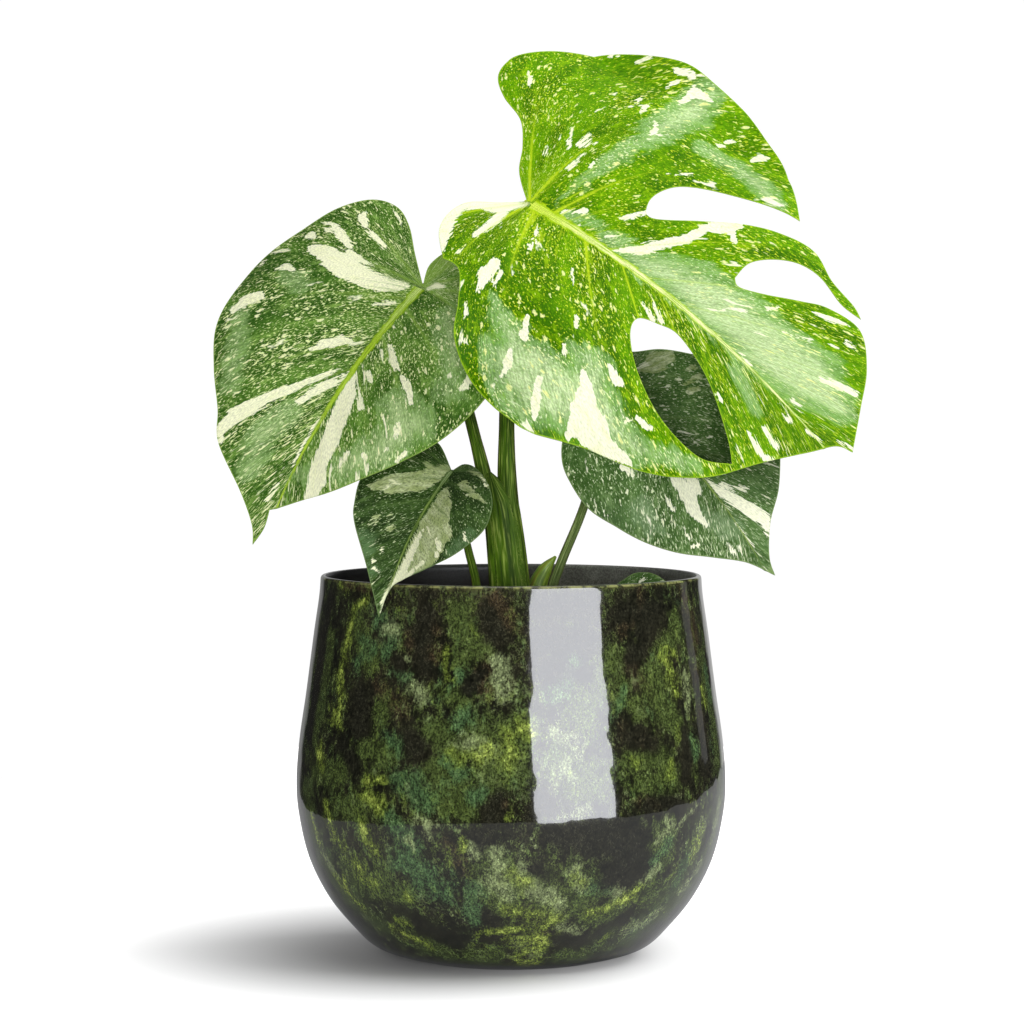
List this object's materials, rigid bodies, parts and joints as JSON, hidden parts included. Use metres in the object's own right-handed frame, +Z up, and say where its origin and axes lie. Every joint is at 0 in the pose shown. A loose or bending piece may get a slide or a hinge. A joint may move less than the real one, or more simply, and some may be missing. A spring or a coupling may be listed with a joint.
{
  "type": "potted variegated monstera",
  "caption": "Young monstera with marbled, cut and heart-shaped leaves on upright stalks, in a round glazed pot of soil.",
  "frame": {"origin": "centre of the pot's foot, on the surface that it stands on", "axes": "+Z up, -Y the side that the leaves face, +X to the right seen from that side"},
  "size_m": [0.4277, 0.2808, 0.5964],
  "materials": {
    "pot_glaze": "gloss",
    "potting_soil": "matte",
    "stalk_green": "satin",
    "shoot_green": "satin",
    "leaf_bright": "satin",
    "leaf_mid": "satin",
    "leaf_dark": "satin"
  },
  "bodies": {
    "root": {"pot": "pot_glaze", "soil": "potting_soil", "stem_fork": "stalk_green", "stalk_low": "stalk_green", "stalk_right": "stalk_green", "stalk_inner": "stalk_green", "new_shoot": "shoot_green", "blade_large": "leaf_bright", "blade_left": "leaf_mid", "blade_low": "leaf_dark", "blade_right": "leaf_dark", "blade_inner": "leaf_dark"}
  },
  "joints": []
}
